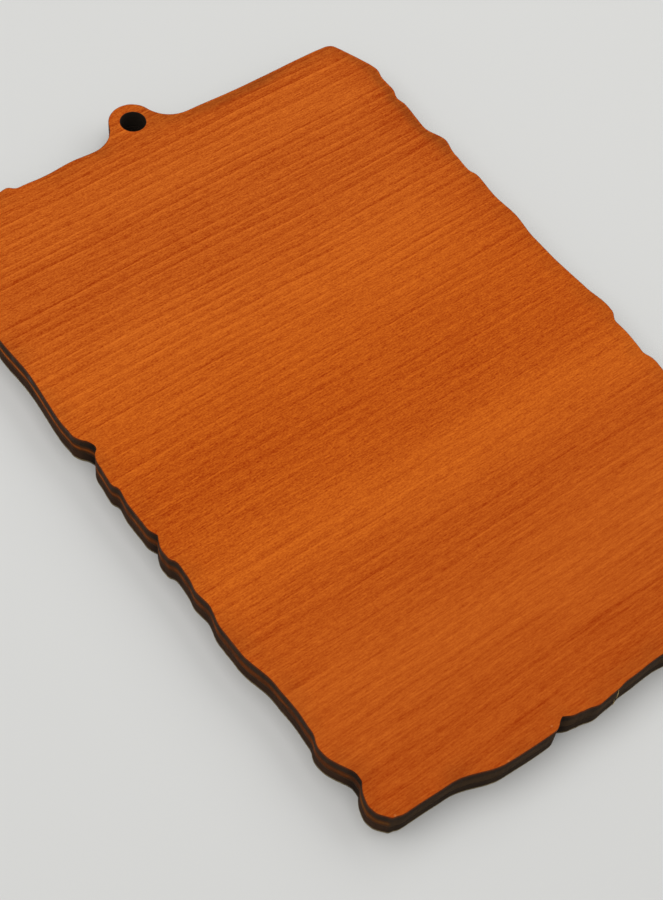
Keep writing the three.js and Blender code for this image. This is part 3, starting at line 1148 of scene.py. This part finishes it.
def resin(name, colours, rough):
    """A thin cured film: clouded where it is thick, with fine bubbles, and charred and darkened with painted
    shade in the notches.
    """
    material, graph = new_finish(name)
    clouds = graph.noise(millimetres(graph), **CLOUDS)
    bubbles = graph.fade(graph.noise(millimetres(graph), **BUBBLES), *BUBBLE_LIMITS)
    colour = cloudy(graph, clouds, spread=0.6, mean=0.5, colours=colours)
    # Char and painted shade in the notches.
    colour = graph.mix(kept(graph, "notch") * FILM_NOTCH, colour, CHAR_AND_NOTCH_SHADE_BLACK)
    roughness = clouds * 0.1 + rough
    relief = clouds * 0.4 - bubbles
    surface(graph, colour, roughness, relief, depth=0.006, constants={"Specular IOR Level": 0.2})
    return material


glue = resin("cured_glue", GLUE, rough=0.6)
adhesive = resin("yellowed_adhesive", ADHESIVE, rough=0.5)
tell_nodes(glue, adhesive)

# %% [markdown]
# ## The picture
#
# The front carries a printed picture under a clear varnish. It faces down here. Its design is a plain one
# in the tradition of such plaques: a gold ground with fine cracks, a ring with an even-armed cross, and a
# banded border. It is all distance: from a point for the ring, from two lines for the cross, and from the
# edge for the border. The edge distance is already kept on the mesh, so the border follows the ragged
# outline by itself.

# %% Rings and cross
GOLD_LEAF = {"dark": srgb(150, 98, 34), "light": srgb(196, 146, 62)}
DEEP_RED = srgb(112, 30, 22)
IVORY = srgb(222, 200, 150)
INK_EDGE = 0.08
PAINT_EDGE = 0.1
RING_MIDDLE = (0.0, 6.0)
OUTER_RING = (18.5, 19.5)
INNER_RING = (16.6, 17.0)
IVORY_REACH = 16.4
CROSS_REACH = 14.0
CROSS_WAIST = 1.6
CROSS_FLARE = 0.16


def past(graph, value, limit, soft):
    """0 before the limit and 1 past it, with a narrow soft edge."""
    return graph.fade(value, limit - soft, limit + soft)


def between(graph, value, start, end):
    """1 from the start to the end and 0 elsewhere, with narrow soft edges."""
    return past(graph, value, start, INK_EDGE) * (1 - past(graph, value, end, INK_EDGE))


def medallion(graph, colour, x, y):
    """An ivory disc in two rings, with a cross whose arms flare towards their ends."""
    across = abs(x - RING_MIDDLE[0])
    up = abs(y - RING_MIDDLE[1])
    far = (across ** 2 + up ** 2) ** 0.5
    further = across.at_least(up)
    slim = across.at_most(up) < further * CROSS_FLARE + CROSS_WAIST
    arms = slim * (1 - past(graph, further, CROSS_REACH, PAINT_EDGE))
    rings = between(graph, far, *OUTER_RING).at_least(between(graph, far, *INNER_RING))
    colour = graph.mix(between(graph, far, 0, IVORY_REACH), colour, IVORY)
    return graph.mix(arms.at_least(rings), colour, DEEP_RED)


# %% Border, cracks and the whole picture
OLIVE = srgb(70, 66, 34)
BORDER = 4.0
BORDER_LINES = ((4.5, 4.9), (2.6, 3.0))
LEAF = {"per_mm": (0.12, 0.12, 0.12), "detail": 4, "roughness": 0.6, "shift": 67}
CRACKS_PER_MM = 0.42
CRACK_WIDTH = 0.03
CRACK_SHARE = 0.45
RIM_BURNS = (0.1, 0.9)
RIM_BY_LEAF = 0.3


def border(graph, colour, gap):
    """An olive band along the edge with two thin gold lines."""
    colour = graph.mix(1 - past(graph, gap, BORDER, PAINT_EDGE), colour, OLIVE)
    outer, inner = (between(graph, gap, *line) for line in BORDER_LINES)
    return graph.mix(outer.at_least(inner), colour, GOLD_LEAF["light"])


def cracks_in(graph):
    cells = {"Vector": millimetres(graph), "Scale": CRACKS_PER_MM, "Randomness": 1.0}
    from_crack = graph.node("ShaderNodeTexVoronoi", {"feature": "DISTANCE_TO_EDGE"}, cells)
    return 1 - graph.fade(from_crack, 0, CRACK_WIDTH)


def printed_picture():
    material, graph = new_finish("printed_picture")
    x, y = graph.parts(millimetres(graph))[:2]
    gap = kept(graph, "edge_distance")
    leaf = graph.noise(millimetres(graph), **LEAF)
    colour = cloudy(graph, leaf, spread=0.7, mean=0.55, colours=GOLD_LEAF)
    colour = border(graph, medallion(graph, colour, x, y), gap)
    cracks = cracks_in(graph)
    colour = graph.mix(cracks * CRACK_SHARE, colour, SCORCH)
    burnt = 1 - graph.fade(gap + leaf * RIM_BY_LEAF, *RIM_BURNS)
    colour = graph.mix(burnt, colour, SCORCH)
    roughness = leaf * 0.08 + burnt * 0.3 + 0.32
    relief = leaf * 0.2 - cracks
    surface(graph, colour, roughness, relief, depth=0.01, constants={"Coat Weight": 0.3})
    return material


picture_face = printed_picture()
tell_nodes(picture_face)

# %% Edge of the picture
PAPER = {"dark": srgb(92, 78, 54), "light": srgb(166, 150, 112)}
PAPER_FIBRES = {"per_mm": (1.4, 1.4, 5), "detail": 3, "roughness": 0.6, "shift": 71}
# How black the paper edge goes in a notch: char and painted shade together.
PAPER_NOTCH = 0.6


def paper_edge():
    """The cut edge of the print's paper: a pale olive line, browned by the beam, and charred and darkened
    with painted shade in the notches.
    """
    material, graph = new_finish("paper_edge")
    fibres = graph.noise(millimetres(graph), **PAPER_FIBRES)
    colour = cloudy(graph, fibres, spread=0.8, mean=0.5, colours=PAPER)
    # Char and painted shade in the notches.
    colour = graph.mix(kept(graph, "notch") * PAPER_NOTCH, colour, CHAR_AND_NOTCH_SHADE_BLACK)
    roughness = fibres * 0.1 + 0.8
    surface(graph, colour, roughness, fibres, depth=0.01, constants={"Specular IOR Level": 0.2})
    return material


picture_edge = paper_edge()
tell_nodes(picture_edge)

# %% [markdown]
# ## The seven layers
#
# Each layer is the blank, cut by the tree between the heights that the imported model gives. The tree's
# result is turned into a plain mesh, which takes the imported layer's place. The outermost corners are
# rounded a little, and the corners between the layers hardly at all, so the board's edge reads as one wall
# with fine lines in it.

# %% A tree's result as a plain mesh
def with_tree(source, tree, values, name):
    """What a Geometry Nodes tree makes of a mesh, as a plain mesh in an object of its own."""
    carrier = bpy.data.objects.new("carrier", source)
    bpy.context.scene.collection.objects.link(carrier)
    modifier = carrier.modifiers.new("nodes", "NODES")
    modifier.node_group = tree
    for item in tree.interface.items_tree:
        if item.item_type == "SOCKET" and item.in_out == "INPUT" and item.name in values:
            modifier[item.identifier] = values[item.name]
    depsgraph = bpy.context.evaluated_depsgraph_get()
    result = carrier.evaluated_get(depsgraph)
    mesh = bpy.data.meshes.new_from_object(result, preserve_all_data_layers=True, depsgraph=depsgraph)
    mesh.name = name
    piece = bpy.data.objects.new(name, mesh)
    bpy.context.scene.collection.objects.link(piece)
    bpy.data.objects.remove(carrier)
    return piece


# %% Seven layers
WALL_ROWS = 14
FILM_ROWS = 3
CORNER_ROWS = 3
RIDGE_HEIGHT = 0.02


def cut_layer(node, finishes, rows, rounds=(0.0, 0.0), burnt_back=0.0):
    """A layer of the board. rounds are the radii of its upper and lower corner in mm."""
    low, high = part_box(node)
    upper, lower, cut = finishes
    sheet = blank.copy()
    sheet.materials.append(cut)
    values = {"Bottom": low.z, "Top": high.z, "Rows": rows}
    values |= {"Burnt Back": burnt_back * MM, "Ridge Height": RIDGE_HEIGHT * MM}
    for corner, radius in zip(("Upper", "Lower"), rounds):
        values |= {corner + " Round": radius * MM, corner + " Rows": CORNER_ROWS if radius else 0}
    values |= {"Upper Finish": upper, "Lower Finish": lower, "Cut Finish": cut}
    piece = with_tree(sheet, cutting, values, node + "_cut")
    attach(piece, "root")
    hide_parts(node)
    print(piece.name, len(piece.data.vertices), "points,", [m.name for m in piece.data.materials])


cut_layer("back_veneer", (back_face, outer_inside, back_wall), WALL_ROWS, (0.03, 0.01))
cut_layer("back_glue_line", (glue, glue, glue), FILM_ROWS, burnt_back=0.03)
cut_layer("core_ply", (core_inside, core_inside, core_wall), WALL_ROWS, (0.01, 0.01), 0.01)
cut_layer("front_glue_line", (glue, glue, glue), FILM_ROWS, burnt_back=0.03)
cut_layer("front_veneer", (outer_inside, outer_inside, front_wall), WALL_ROWS, (0.01, 0.02))
cut_layer("picture_adhesive", (adhesive, adhesive, adhesive), FILM_ROWS, burnt_back=0.02)
cut_layer("picture_sheet", (picture_edge, picture_face, picture_edge), FILM_ROWS)

# %% [markdown]
# ## Torn fibres
#
# Low on the board the beam left two straw-coloured fibres hanging down the dark wall, each about as thick
# as a hair. Two thin cylinders would do, but a fibre tapers and bows. So each starts as one straight edge
# from end to end, and a tree turns it into a curve, bows it, and sweeps a small round section along it that
# narrows to both tips.

# %% The fibre tree
FIBRE_POINTS = 12
FIBRE_SIDES = 6
FIBRE_TIP = 0.25
BOW_RIGHT = 0.4


def fibre_tree():
    graph, value = open_tree("torn_fibre", {"Thickness": "Float", "Bow": "Float", "Finish": "Material"})
    line = graph.node("GeometryNodeMeshToCurve", None, {"Mesh": value["Geometry"]})
    line = graph.node("GeometryNodeResampleCurve", None, {"Curve": line, "Count": FIBRE_POINTS})
    hump = (graph.node("GeometryNodeSplineParameter") * pi).sine()
    bow = hump * value["Bow"]
    line = moved(graph, line, graph.vector(bow * BOW_RIGHT, bow * -1, 0))
    section = {"Resolution": FIBRE_SIDES, "Radius": value["Thickness"] / 2}
    section = graph.node("GeometryNodeCurvePrimitiveCircle", {"mode": "RADIUS"}, section)
    taper = hump * (1 - FIBRE_TIP) + FIBRE_TIP
    swept = {"Curve": line, "Profile Curve": section, "Scale": taper, "Fill Caps": True}
    swept = graph.node("GeometryNodeCurveToMesh", None, swept)
    return painted(graph, swept, [(value["Finish"], True)])


hairs = fibre_tree()
print("fibre tree:", len(hairs.nodes), "nodes")

# %% Torn fibres
STRAW = {"dark": srgb(156, 124, 66), "light": srgb(200, 176, 112)}
STRAW_CLOUDS = {"per_mm": (6, 6, 2), "detail": 2, "shift": 91}
FIBRE_THICKNESS = 0.08
FIBRE_BOW = 0.05
FIBRES = (
    ((-0.05, -44.46, 3.99), (-0.13, -44.66, 2.35)),
    ((-0.38, -44.66, 2.45), (-0.22, -44.68, 0.95)),
)


def straw():
    material, graph = new_finish("torn_fibre")
    clouds = graph.noise(millimetres(graph), **STRAW_CLOUDS)
    colour = cloudy(graph, clouds, spread=1.0, mean=0.6, colours=STRAW)
    roughness = clouds * 0.1 + 0.7
    surface(graph, colour, roughness, clouds, depth=0.005, constants={"Specular IOR Level": 0.2})
    return material


def torn_fibres():
    lines = bpy.data.meshes.new("fibre_lines")
    ends = [Vector(end) * MM for fibre in FIBRES for end in fibre]
    lines.from_pydata(ends, [(i, i + 1) for i in range(0, len(ends), 2)], [])
    values = {"Thickness": FIBRE_THICKNESS * MM, "Bow": FIBRE_BOW * MM, "Finish": straw()}
    piece = with_tree(lines, hairs, values, "torn_fibres")
    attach(piece, "root")
    return piece


fibres = torn_fibres()
print("torn fibres:", len(FIBRES), "with", len(fibres.data.polygons), "faces")
